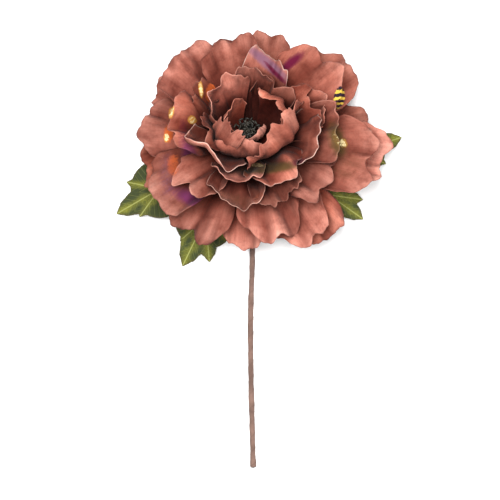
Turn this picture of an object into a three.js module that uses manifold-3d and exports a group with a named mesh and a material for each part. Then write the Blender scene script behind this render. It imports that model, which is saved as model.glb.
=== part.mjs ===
// An artificial peony on a short wrapped-wire stem, lying on a table.
// The bloom looks up and leans a little away from the stem, which bends under it and runs along the table.
// Millimetres, +Z up. The origin is on the table, under the middle of the whole flower; +Y runs from the
// stem's cut end towards the bloom.
import * as THREE from "three";
import Module from "manifold-3d";
import { mergeVertices } from "three/addons/utils/BufferGeometryUtils.js";

const wasm = await Module();
wasm.setup();

// ---- driving dimensions ----
const HUB = new THREE.Vector3(-7.2, 62, 26); // the bloom's back, where its petals are gathered
const LEAN = THREE.MathUtils.degToRad(18); // how far the bloom's axis leans from upright, towards +Y
const FABRIC = 0.8; // thickness of a petal
const LEAF = 0.8; // thickness of a leaf's blade
const GAP = 0.3; // clearance between touching pieces

const PIN_RADIUS = 2; // the moulded pin that the petal layers are threaded on
const LAYER_HEIGHT = 1.8; // the gathered middle of a petal layer
const ROOT_DEPTH = 1.8; // how deep a petal's root runs into its layer's middle
const CALYX = { radius: 8.5, length: 13, neck: 3, socket: 5 };
const SEPALS = { count: 5, length: 24, spread: 20, rise: [-17, -17, -26], wrap: 1.6, ruffle: 0.6, roll: 0 };

const STEM_RADIUS = 1.75;
const STEM_FLAT = 0.15; // depth of the flat where the stem lies on the table
const STEM_END = -129.1; // Y of the cut end

const STAMENS = { count: 15, button: 4.8, height: 3.4, length: 6.5, filament: 0.6, anther: 1.1 };

const deg = THREE.MathUtils.degToRad;

// ---- petal layers, outermost first ----
// at: direction round the bloom's axis, 0 towards +X and 90 away from the stem, in degrees.
// length: from the root to the middle of the rim. spread: half the fan's angle, in degrees.
// rise: slope at the root, at the shoulder and at the rim, in degrees.
// wrap: sideways curve; at 1 the petal follows a circle round the axis, and higher is flatter.
// knee: where along the petal its shoulder is, if not at SHOULDER.
// ruffle: height of the waves along the rim. waves: how many. roll: how far one side stands above the other.
// notch: depth of the cleft in the middle of the rim, as a part of the length.
const LAYERS = [
  {
    radius: 9, spread: 27, rise: [-8, -4, -15], wrap: 3, ruffle: 3, waves: 1.7, roll: 0.05, notch: 0.03,
    petals: [
      { at: 138, length: 61 },
      { at: 191, length: 57, rise: [-9, -8, -20], waves: 1.2 },
      { at: 270, length: 54.5, rise: [-12, -14, -26] },
      { at: 310, length: 66, rise: [-11, -10, -22] },
      { at: 13, length: 63, rise: [-9, -8, -20] },
      { at: 82, length: 65 },
    ],
  },
  {
    radius: 9, spread: 27, rise: [2, 6, -5], wrap: 2.6, ruffle: 3, waves: 1.8, roll: 0.06, notch: 0.04,
    petals: [
      { at: 111, length: 59 },
      { at: 172, length: 55, spread: 32, waves: 1.1, roll: -0.04 },
      { at: 238, length: 60, rise: [-3, -2, -16] },
      { at: 302, length: 63, rise: [-3, -2, -16] },
      { at: 352, length: 75, spread: 24, rise: [0, 2, -12] },
      { at: 39, length: 69, notch: 0.09 },
    ],
  },
  {
    radius: 9, spread: 29, rise: [12, 16, 3], wrap: 2.2, ruffle: 3, waves: 1.7, roll: 0.07, notch: 0.03,
    petals: [
      { at: 101, length: 54, rise: [14, 26, 18] },
      { at: 131, length: 59, spread: 31 },
      { at: 216, length: 59, spread: 31, rise: [8, 9, -6] },
      { at: 286, length: 57.5, rise: [7, 7, -6] },
      { at: 345, length: 71, spread: 27 },
      { at: 42, length: 61, spread: 31, rise: [14, 24, 16] },
    ],
  },
  {
    radius: 9, spread: 28, rise: [22, 42, 14], wrap: 1.5, ruffle: 2, waves: 2, roll: 0.09, notch: 0.05,
    petals: [
      { at: 182, length: 51, spread: 33, rise: [22, 60, 20], wrap: 1.2, roll: 0.05 },
      { at: 227, length: 50, rise: [20, 27, 4], roll: 0.2, notch: 0.14 },
      { at: 261, length: 50, spread: 33, rise: [18, 33, 50], wrap: 1.3, waves: 1.2, notch: 0 },
      { at: 294, length: 49, rise: [22, 34, 10] },
      { at: 322, length: 55, rise: [17, 26, -4], notch: 0.1 },
      { at: 352, length: 58, rise: [19, 45, 34] },
      { at: 16, length: 49, rise: [22, 44, 40] },
      { at: 74, length: 47, spread: 27, rise: [24, 58, -20] },
      { at: 150, length: 40, rise: [24, 54, 46] },
    ],
  },
  {
    radius: 7.3, spread: 32, rise: [28, 62, 56], wrap: 1.3, ruffle: 1.8, waves: 1.9, roll: 0.11, notch: 0.04,
    petals: [
      { at: 223, length: 48, spread: 40, rise: [25, 64, 77], wrap: 1.34 },
      { at: 262, length: 46, rise: [23, 56, 46] },
      { at: 300, length: 49, rise: [26, 58, 6] },
      { at: 340, length: 54, rise: [25, 55, 66] },
      { at: 9, length: 47, rise: [24, 54, 46] },
      { at: 50, length: 38, rise: [28, 64, 50] },
      { at: 86, length: 43, spread: 25, rise: [30, 66, 62] },
    ],
  },
  {
    radius: 5.8, spread: 36, rise: [36, 72, 80], wrap: 1.25, ruffle: 1.4, waves: 1.7, roll: 0.12, notch: 0.04,
    petals: [
      { at: 132, length: 44, spread: 33, rise: [34, 74, 62] },
      { at: 178, length: 36, rise: [32, 72, 92] },
      { at: 222, length: 50, spread: 18, rise: [21, 93, 150], ruffle: 0.7, waves: 1, notch: 0.1, knee: 0.62 },
      { at: 262, length: 42, rise: [20, 90, 134], knee: 0.72 },
      { at: 324, length: 58, spread: 40, rise: [18, 90, 146], wrap: 1.2, roll: -0.12, knee: 0.7 },
      { at: 26, length: 45, spread: 34, rise: [30, 80, 146], wrap: 1.4 },
      { at: 202, length: 41, spread: 30, rise: [28, 74, 66] },
    ],
  },
  {
    radius: 4.4, spread: 42, rise: [34, 84, 96], wrap: 1.2, ruffle: 0.8, waves: 1.6, roll: 0.1, notch: 0.04,
    petals: [
      { at: 152, length: 28, rise: [34, 80, 84] },
      { at: 305, length: 24, rise: [34, 84, 130] },
    ],
  },
];

// ---- leaves ----
// fork: where the midribs of a leaf's lobes meet. stalk: height of its stalk's end at the stem.
// lobes: direction and length of each pointed lobe, in degrees and mm. back: length towards the stem.
const LEAVES = [
  { fork: [-59, 35.7, 8], stalk: 6.8, lobes: [[168, 20], [210, 29.6], [234, 20.5]], back: 17 },
  { fork: [-32, 18.3, 6], stalk: 10, lobes: [[221, 20], [244, 31.5], [275, 26], [316, 18.5]], back: 14 },
  { fork: [40.6, 32.2, 6.5], stalk: 7.5, lobes: [[296, 18], [325, 25], [352, 20.5]], back: 16 },
  { fork: [58, 57.7, 8], stalk: 10, lobes: [[-24, 18], [18.4, 27.2], [41, 18.5]], back: 18 },
];
const LEAF_RIB = 0.9; // radius of a leaf's stalk, which thins along the midrib
const LEAF_DROOP = 3.2; // how far a lobe's tip hangs below the fork

// X and Y of points along the stem on the table, from the bend to the cut end
const STEM_RUN = [
  [-6.4, 30], [-5.1, 14], [-4.4, 2], [-4.6, -13], [-5.2, -29], [-5.5, -47], [-5.2, -76], [-4.5, -105],
];
const STEM_CUT = [-3.9, STEM_END];
const BEND_RADIUS = 14;

// ---- solids and meshes ----
function solidFrom(geometry) {
  const plain = geometry.clone();
  plain.deleteAttribute("normal");
  plain.deleteAttribute("uv");
  const merged = mergeVertices(plain, 1e-4);
  const vertProperties = new Float32Array(merged.attributes.position.array);
  const triVerts = new Uint32Array(merged.index.array);
  return new wasm.Manifold(new wasm.Mesh({ numProp: 3, vertProperties, triVerts }));
}

function geometryFrom(solid) {
  const mesh = solid.getMesh();
  const positions = new Float32Array(mesh.numVert * 3);
  for (let i = 0; i < mesh.numVert; i++) {
    positions.set(mesh.vertProperties.subarray(i * mesh.numProp, i * mesh.numProp + 3), i * 3);
  }
  const geometry = new THREE.BufferGeometry();
  geometry.setAttribute("position", new THREE.BufferAttribute(positions, 3));
  geometry.setIndex(new THREE.BufferAttribute(new Uint32Array(mesh.triVerts), 1));
  geometry.computeVertexNormals();
  return geometry;
}

// Fuses solids into one; where two of them only graze each other, the specks left over are dropped.
function joined(solids) {
  const pieces = solids.reduce((whole, next) => whole.add(next)).decompose();
  return pieces.reduce((most, piece) => (piece.volume() > most.volume() ? piece : most));
}

function namedMesh(name, geometry, material) {
  const mesh = new THREE.Mesh(geometry, material);
  mesh.name = name;
  return mesh;
}

// A thin sheet: pointAt(i, j) gives its middle surface, and both faces are split into the same triangles.
function sheetGeometry(pointAt, across, along, thickness) {
  const middle = [];
  for (let j = 0; j <= along; j++) {
    for (let i = 0; i <= across; i++) middle.push(pointAt(i, j));
  }
  const at = (i, j) => j * (across + 1) + i;
  const clamped = (value, most) => Math.min(Math.max(value, 0), most);
  const positions = [];
  for (const side of [0.5, -0.5]) {
    for (let j = 0; j <= along; j++) {
      for (let i = 0; i <= across; i++) {
        const [left, right] = [at(clamped(i - 1, across), j), at(clamped(i + 1, across), j)];
        const [below, above] = [at(i, clamped(j - 1, along)), at(i, clamped(j + 1, along))];
        const acrossStep = middle[right].clone().sub(middle[left]);
        const normal = acrossStep.cross(middle[above].clone().sub(middle[below])).normalize();
        positions.push(...middle[at(i, j)].clone().addScaledVector(normal, side * thickness).toArray());
      }
    }
  }
  const under = (across + 1) * (along + 1);
  const faces = [];
  const quad = (a, b, c, d) => faces.push(a, b, c, a, c, d);
  for (let j = 0; j < along; j++) {
    for (let i = 0; i < across; i++) {
      const [a, b, c, d] = [at(i, j), at(i + 1, j), at(i + 1, j + 1), at(i, j + 1)];
      faces.push(a, b, c, a, c, d);
      faces.push(a + under, c + under, b + under, a + under, d + under, c + under);
    }
  }
  for (let i = 0; i < across; i++) {
    quad(at(i + 1, 0), at(i, 0), at(i, 0) + under, at(i + 1, 0) + under);
    quad(at(i, along), at(i + 1, along), at(i + 1, along) + under, at(i, along) + under);
  }
  for (let j = 0; j < along; j++) {
    quad(at(0, j), at(0, j + 1), at(0, j + 1) + under, at(0, j) + under);
    quad(at(across, j + 1), at(across, j), at(across, j) + under, at(across, j + 1) + under);
  }
  const geometry = new THREE.BufferGeometry();
  geometry.setAttribute("position", new THREE.Float32BufferAttribute(positions, 3));
  geometry.setIndex(faces);
  return geometry;
}

// ---- petals ----
// A number from 0 to 1 that looks random and is the same every time.
function chance(seed) {
  const wave = Math.sin(seed * 12.9898 + 78.233) * 43758.5453;
  return wave - Math.floor(wave);
}

const turn = (seed) => 2 * Math.PI * chance(seed);

// Where a curve of constant bend is after a distance: it starts at r, h and climbs at the angle slope.
function bend(r, h, slope, curvature, distance) {
  if (Math.abs(curvature) < 1e-6) {
    return [r + distance * Math.cos(slope), h + distance * Math.sin(slope), slope];
  }
  const end = slope + curvature * distance;
  return [
    r + (Math.sin(end) - Math.sin(slope)) / curvature,
    h + (Math.cos(slope) - Math.cos(end)) / curvature,
    end,
  ];
}

const SHOULDER = 0.68; // where along a petal its shoulder is

// Distance of the rim from the petal's root, as a part of its length; u runs from -1 to 1 across the petal.
function petalOutline(petal, u) {
  const { seed, waves, notch } = petal;
  const rounded = 1 - 0.3 * Math.abs(u) ** 2.8;
  const lobes = 0.035 * Math.sin(waves * 2.6 * u + turn(seed)) + 0.025 * Math.sin(9 * u + turn(seed + 1));
  const cleft = notch * Math.exp(-(((u - 0.3 * chance(seed + 4) + 0.15) / 0.16) ** 2));
  return rounded + lobes - cleft;
}

// A point on a petal, in the bloom's frame; t runs from 0 at the root to 1 at the rim.
function petalPoint(petal, u, t) {
  const { length, seed } = petal;
  const ray = length * t * (petal.outline ?? petalOutline)(petal, u);
  const angle = deg(petal.spread) * u * (1.25 - 0.3 * t);
  const sideways = ray * Math.sin(angle);
  const outwards = ray * Math.cos(angle);

  const [root, shoulder, rim] = petal.rise.map(deg);
  const first = (petal.knee ?? SHOULDER) * length;
  const lower = bend(petal.root, petal.height, root, (shoulder - root) / first, Math.min(outwards, first));
  const [r, h, slope] =
    outwards <= first ? lower : bend(...lower, (rim - shoulder) / (length - first), outwards - first);

  const broad = Math.sin(petal.waves * Math.PI * u + turn(seed + 2));
  const fine = 0.4 * Math.sin(7.3 * u + turn(seed + 3));
  const lift = petal.ruffle * t ** 2.2 * (broad + fine) + petal.roll * sideways;
  const curve = petal.wrap * r;
  const swing = sideways / curve;
  const inwards = curve * (1 - Math.cos(swing)) + lift * Math.cos(swing);
  const along = curve * Math.sin(swing) - lift * Math.sin(swing);
  const radius = r - inwards * Math.sin(slope);
  const direction = deg(petal.at);
  return new THREE.Vector3(
    radius * Math.cos(direction) - along * Math.sin(direction),
    radius * Math.sin(direction) + along * Math.cos(direction),
    h + inwards * Math.cos(slope),
  );
}

const bloom = new THREE.Group();
bloom.position.copy(HUB);
bloom.rotation.x = -LEAN;
bloom.updateMatrix();
const bloomInverse = bloom.matrix.clone().invert();

// Fabric that would sink into the table lies along it instead.
function laidOnTable(point) {
  const world = point.clone().applyMatrix4(bloom.matrix);
  const above = world.z - FABRIC / 2;
  const softness = 0.8;
  world.z = FABRIC / 2 + (above + Math.hypot(above, softness)) / 2;
  return world.applyMatrix4(bloomInverse);
}

const BENT_LINES = [0, 0.34, 0.6, 0.82, 1]; // a petal's grid lines from root to rim
const FLAT_LINES = [0, 0.4, 0.74, 1]; // and those of a petal or sepal that bends little
const FLAT_LAYERS = 2; // the outermost layers, which bend little
const PETAL_ACROSS = 8;

function petalSolid(petal, lines) {
  const pointAt = (i, j) => {
    const t = Math.max(lines[j], 0.6 / petal.length);
    return laidOnTable(petalPoint(petal, (2 * i) / PETAL_ACROSS - 1, t));
  };
  return solidFrom(sheetGeometry(pointAt, PETAL_ACROSS, lines.length - 1, FABRIC));
}

// A profile of radius and height, turned about the bloom's axis.
function turned(profile, sides) {
  const outline = profile.map(([r, h]) => new THREE.Vector2(r, h));
  return solidFrom(new THREE.LatheGeometry(outline, sides).rotateX(Math.PI / 2));
}

// The middle of a layer, where its petals meet round the pin.
function layerMiddle(radius, bottom) {
  const inner = PIN_RADIUS + GAP;
  const top = bottom + LAYER_HEIGHT;
  return turned([[inner, bottom], [radius, bottom], [radius, top], [inner, top], [inner, bottom]], 16);
}

const layerBottom = (index) => GAP + index * (LAYER_HEIGHT + GAP);

function petalLayer(layer, index) {
  const bottom = layerBottom(index);
  const shared = { ...layer, root: layer.radius - ROOT_DEPTH, height: bottom + LAYER_HEIGHT / 2 };
  const lines = index < FLAT_LAYERS ? FLAT_LINES : BENT_LINES;
  const petals = layer.petals.map((own, k) => {
    return petalSolid({ ...shared, ...own, seed: 100 * (index + 1) + 10 * k }, lines);
  });
  return geometryFrom(joined([layerMiddle(layer.radius, bottom), ...petals]));
}

// ---- calyx and stamens ----
// A sepal narrows to a point.
const sepalOutline = (petal, u) => 1 - 0.62 * Math.abs(u) ** 0.9;

function calyxSolid() {
  const { radius, length, neck, socket } = CALYX;
  const stemHole = STEM_RADIUS + GAP;
  const pinTop = layerBottom(LAYERS.length);
  const cup = turned([
    [0, socket - length], [stemHole, socket - length], [stemHole, -length], [neck, -length],
    [neck + 0.8, 1.5 - length], [neck + 1.2, 4 - length], [radius - 1.6, -4.2], [radius, -2.2], [radius, 0],
    [PIN_RADIUS, 0], [PIN_RADIUS, pinTop], [0, pinTop],
  ], 14);
  const sepals = Array.from({ length: SEPALS.count }, (_, k) => petalSolid({
    ...SEPALS, at: 18 + (360 * k) / SEPALS.count, root: radius - 3, height: -1.6, waves: 1, notch: 0,
    seed: 900 + k, outline: sepalOutline,
  }, FLAT_LINES));
  return joined([cup, ...sepals]);
}

// A bar between two points that tapers from one radius to another.
function barSolid(from, to, fromRadius, toRadius, sides) {
  const length = from.distanceTo(to);
  const geometry = new THREE.CylinderGeometry(toRadius, fromRadius, length, sides, 1);
  const turnTo = new THREE.Quaternion().setFromUnitVectors(
    new THREE.Vector3(0, 1, 0), to.clone().sub(from).normalize());
  const middle = from.clone().add(to).multiplyScalar(0.5);
  return solidFrom(geometry.applyQuaternion(turnTo).translate(middle.x, middle.y, middle.z));
}

function stamenSolid() {
  const { count, button, height, length, filament, anther } = STAMENS;
  const bottom = layerBottom(LAYERS.length) + GAP;
  const parts = [turned([
    [0, bottom], [button - 1.6, bottom], [button, bottom + 1.9], [button - 0.7, bottom + height],
    [button / 2, bottom + height + 0.9], [0, bottom + height + 1.2],
  ], 14)];
  for (let k = 0; k < count; k++) {
    const outwards = Math.sqrt((k + 0.5) / count);
    const around = 2.39996 * k;
    const lean = deg(4 + 24 * outwards + 8 * (chance(k + 40) - 0.5));
    const side = new THREE.Vector3(Math.cos(around), Math.sin(around), 0);
    const foot = side.clone().multiplyScalar((button - 1.4) * outwards).setZ(bottom + height - 0.8);
    const reach = length * (0.75 + 0.35 * chance(k + 80));
    const tip = foot.clone().addScaledVector(side, reach * Math.sin(lean));
    tip.z += reach * Math.cos(lean);
    parts.push(barSolid(foot, tip, filament, filament * 0.8, 3));
    const head = new THREE.IcosahedronGeometry(anther, 0).scale(1, 1, 1.25).translate(tip.x, tip.y, tip.z);
    parts.push(solidFrom(head));
  }
  return joined(parts);
}

// ---- stem ----
const axis = new THREE.Vector3(0, Math.sin(LEAN), Math.cos(LEAN));
const stemHeight = STEM_RADIUS - STEM_FLAT; // of the stem's middle line on the table

// The bend starts on the bloom's axis and ends level; its middle is above the end.
const stemFoot = HUB.clone().addScaledVector(axis, -CALYX.length);
const bendDrop = BEND_RADIUS * (1 - Math.sin(LEAN));
const bendStart = stemFoot.clone().addScaledVector(axis, (stemHeight + bendDrop - stemFoot.z) / axis.z);
const bendMiddle = bendStart.clone().setZ(stemHeight + BEND_RADIUS);
bendMiddle.y -= BEND_RADIUS * Math.cos(LEAN);

// The stem's middle and direction at a slope in the bend, which is 0 where it is level.
function stemAtSlope(slope) {
  const middle = bendMiddle.clone().add({
    x: 0, y: BEND_RADIUS * Math.sin(slope), z: -BEND_RADIUS * Math.cos(slope),
  });
  return { middle, downwards: new THREE.Vector3(0, -Math.cos(slope), -Math.sin(slope)) };
}

const stemInBend = (height) => stemAtSlope(Math.acos(1 - (height - stemHeight) / BEND_RADIUS));

// The stem goes down the bloom's axis, bends and runs along the table.
function stemPath() {
  const steps = 6;
  const arc = Array.from({ length: steps + 1 }, (_, k) => {
    return stemAtSlope((Math.PI / 2 - LEAN) * (1 - k / steps)).middle;
  });
  const run = [...STEM_RUN, STEM_CUT].map(([x, y]) => new THREE.Vector3(x, y, stemHeight));
  const top = HUB.clone().addScaledVector(axis, CALYX.socket - CALYX.length - GAP);
  return [top, stemFoot, ...arc, ...run];
}

// A round rod along a path of points; where it would sink into the table it is flat. One of an even but
// odd half number of sides, such as 14 or 6, faces straight down.
function rodSolid(path, radiusAt, sides) {
  const positions = [];
  const faces = [];
  path.forEach((point, k) => {
    const ahead = path[Math.min(k + 1, path.length - 1)].clone().sub(path[Math.max(k - 1, 0)]).normalize();
    const across = new THREE.Vector3(1, 0, 0).addScaledVector(ahead, -ahead.x);
    if (across.length() < 0.5) across.set(0, 1, 0).addScaledVector(ahead, -ahead.y);
    across.normalize();
    const upwards = across.clone().cross(ahead);
    for (let i = 0; i < sides; i++) {
      const angle = (2 * Math.PI * i) / sides;
      const rim = point.clone()
        .addScaledVector(across, radiusAt(k / (path.length - 1)) * Math.cos(angle))
        .addScaledVector(upwards, radiusAt(k / (path.length - 1)) * Math.sin(angle));
      rim.z = Math.max(rim.z, 0);
      positions.push(...rim.toArray());
      if (k === 0) continue;
      const next = (i + 1) % sides;
      const [a, b, c, d] = [(k - 1) * sides + i, (k - 1) * sides + next, k * sides + next, k * sides + i];
      faces.push(a, c, b, a, d, c);
    }
  });
  const last = (path.length - 1) * sides;
  for (let i = 1; i < sides - 1; i++) faces.push(0, i, i + 1, last, last + i + 1, last + i);
  const geometry = new THREE.BufferGeometry();
  geometry.setAttribute("position", new THREE.Float32BufferAttribute(positions, 3));
  geometry.setIndex(faces);
  return solidFrom(geometry);
}

// ---- leaves ----
const LEAF_SECTORS = 32;
const LEAF_RINGS = 2;

// Distance from the fork to the leaf's edge in a direction; the lobes are pointed with clefts between them.
function leafEdge(leaf, angle, backwards) {
  const away = (from) => {
    return Math.abs(THREE.MathUtils.euclideanModulo(angle - from + Math.PI, 2 * Math.PI) - Math.PI);
  };
  const lobe = (direction, length, width) => {
    return length * (1 - 0.5 * Math.min(away(direction) / width, 2));
  };
  const lengths = leaf.lobes.map(([direction, length]) => lobe(deg(direction), length, deg(27)));
  const front = 0.5 - 0.5 * Math.cos(Math.min(away(backwards), deg(80)) * (180 / 80));
  const web = 7 + front * (0.58 * Math.max(...leaf.lobes.map((one) => one[1])) - 7);
  return Math.max(web, lobe(backwards, leaf.back, deg(26)), ...lengths);
}

function leafSolid(leaf) {
  const fork = new THREE.Vector3(...leaf.fork);
  const { middle: stemMiddle, downwards } = stemInBend(leaf.stalk);
  const outwards = fork.clone().sub(stemMiddle).setZ(0).normalize();
  const backwards = Math.atan2(-outwards.y, -outwards.x);
  const pointAt = (angle, part) => {
    const distance = leafEdge(leaf, angle, backwards) * part;
    const fold = 0.7 * Math.abs(Math.sin(2.5 * (angle - backwards))) * part;
    return new THREE.Vector3(
      fork.x + distance * Math.cos(angle),
      fork.y + distance * Math.sin(angle),
      fork.z + fold - LEAF_DROOP * (distance / 26) ** 2 * (Math.cos(angle - backwards) < 0 ? 1 : -0.2),
    );
  };
  const positions = [];
  const faces = [];
  const under = 1 + LEAF_SECTORS * LEAF_RINGS;
  for (const side of [0.5, -0.5]) {
    positions.push(fork.x, fork.y, fork.z + side * LEAF);
    for (let ring = 1; ring <= LEAF_RINGS; ring++) {
      for (let i = 0; i < LEAF_SECTORS; i++) {
        const point = pointAt(backwards + (2 * Math.PI * i) / LEAF_SECTORS, ring / LEAF_RINGS);
        positions.push(point.x, point.y, point.z + side * LEAF);
      }
    }
  }
  const at = (ring, i) => 1 + (ring - 1) * LEAF_SECTORS + (i % LEAF_SECTORS);
  for (let i = 0; i < LEAF_SECTORS; i++) {
    faces.push(0, at(1, i), at(1, i + 1), under, at(1, i + 1) + under, at(1, i) + under);
    for (let ring = 1; ring < LEAF_RINGS; ring++) {
      const [a, b, c, d] = [at(ring, i), at(ring + 1, i), at(ring + 1, i + 1), at(ring, i + 1)];
      faces.push(a, b, c, a, c, d, a + under, c + under, b + under, a + under, d + under, c + under);
    }
    const [a, b] = [at(LEAF_RINGS, i), at(LEAF_RINGS, i + 1)];
    faces.push(b, a, a + under, b, a + under, b + under);
  }
  const geometry = new THREE.BufferGeometry();
  geometry.setAttribute("position", new THREE.Float32BufferAttribute(positions, 3));
  geometry.setIndex(faces);

  const ribs = leaf.lobes.map(([direction, length]) => {
    const part = (0.9 * length) / leafEdge(leaf, deg(direction), backwards);
    return barSolid(fork, pointAt(deg(direction), part), LEAF_RIB * 0.75, 0.45, 5);
  });
  const slant = outwards.dot(downwards);
  const clear = (STEM_RADIUS + GAP + LEAF_RIB * Math.abs(slant)) / Math.sqrt(1 - slant ** 2);
  const stalkStart = stemMiddle.clone().addScaledVector(outwards, clear);
  const bow = stalkStart.clone().lerp(fork, 0.5).setZ((stalkStart.z + fork.z) / 2 - 0.8);
  const stalk = rodSolid([stalkStart, bow, fork], (part) => LEAF_RIB * (1 - 0.2 * part), 6);
  return joined([solidFrom(geometry), stalk, ...ribs]);
}

// ---- the whole flower ----
const cloth = new THREE.MeshStandardMaterial({ color: 0xb0685a, roughness: 0.85 });
const greenPlastic = new THREE.MeshStandardMaterial({ color: 0x5c6b2c, roughness: 0.6 });
const darkPlastic = new THREE.MeshStandardMaterial({ color: 0x1d241c, roughness: 0.5 });
const leafCloth = new THREE.MeshStandardMaterial({ color: 0x6c7d34, roughness: 0.75 });
const wrap = new THREE.MeshStandardMaterial({ color: 0xa57d70, roughness: 0.9 });

LAYERS.forEach((layer, index) => {
  bloom.add(namedMesh(`petal_layer_${index + 1}`, petalLayer(layer, index), cloth));
});
bloom.add(namedMesh("calyx", geometryFrom(calyxSolid()), greenPlastic));
bloom.add(namedMesh("stamens", geometryFrom(stamenSolid()), darkPlastic));

const flower = new THREE.Group();
flower.add(bloom);
flower.add(namedMesh("stem", geometryFrom(rodSolid(stemPath(), () => STEM_RADIUS, 14)), wrap));
LEAVES.forEach((leaf, index) => {
  flower.add(namedMesh(`leaf_${index + 1}`, geometryFrom(leafSolid(leaf)), leafCloth));
});

export default flower;
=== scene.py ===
"""An artificial peony on a pale table: cloth petals and leaves, a moulded calyx and a wrapped wire stem.

Sizes are in mm, in the part's own frame, and become metres where the meshes are made.
"""
import math

import bpy
import numpy as np
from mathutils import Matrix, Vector
from mathutils.bvhtree import BVHTree


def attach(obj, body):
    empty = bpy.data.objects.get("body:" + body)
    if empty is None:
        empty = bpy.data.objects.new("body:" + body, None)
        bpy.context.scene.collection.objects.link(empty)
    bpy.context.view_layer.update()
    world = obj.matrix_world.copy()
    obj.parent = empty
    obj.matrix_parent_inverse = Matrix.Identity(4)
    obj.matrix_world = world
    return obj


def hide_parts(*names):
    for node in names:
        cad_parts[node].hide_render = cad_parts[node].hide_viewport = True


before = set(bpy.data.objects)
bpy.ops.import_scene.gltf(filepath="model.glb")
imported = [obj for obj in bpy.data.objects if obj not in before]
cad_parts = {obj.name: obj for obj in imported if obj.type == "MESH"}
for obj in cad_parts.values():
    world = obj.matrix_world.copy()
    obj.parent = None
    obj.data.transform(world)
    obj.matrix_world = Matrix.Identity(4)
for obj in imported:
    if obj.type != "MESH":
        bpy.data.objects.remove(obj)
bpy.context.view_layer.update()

MM = 0.001
HUB = np.array([-7.2, 62.0, 26.0])  # the bloom's back, where its petals are gathered
LEAN = math.radians(18)  # how far the bloom's axis leans from upright, towards +Y
TILT = np.array([[1, 0, 0], [0, math.cos(LEAN), math.sin(LEAN)], [0, -math.sin(LEAN), math.cos(LEAN)]])
TABLE_GAP = 0.4  # from the table to the middle of cloth that lies on it
TABLE_EASE = 0.8  # how softly cloth comes to lie on the table
CLOTH = 0.36  # thickness of the petals' cloth
SEPAL_CLOTH = 0.8
LEAF_CLOTH = 0.5
STEM_RADIUS = 1.75
STEM_HEIGHT = 1.6  # of the stem's middle line on the table
FIRST_LAYER = 0.3  # from the hub to the foot of the first petal layer
LAYER_STEP = 2.1  # from one petal layer to the next
ROOT_HEIGHT = 0.9  # of the petals' roots above their layer's foot
ROOT_DEPTH = 1.8  # how far the petals' roots are inside their layer's gathered middle
PIN_RADIUS = 2.0  # the pin that the layers are threaded on
SHOULDER = 0.68  # where along a petal its shoulder is


# ---------------- petals: where they grow and how they bend
def cut(at, length, **own):
    """A petal: the way it points, in degrees, its length, and where it differs from its layer."""
    return {"at": at, "length": length, **own}


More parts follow.
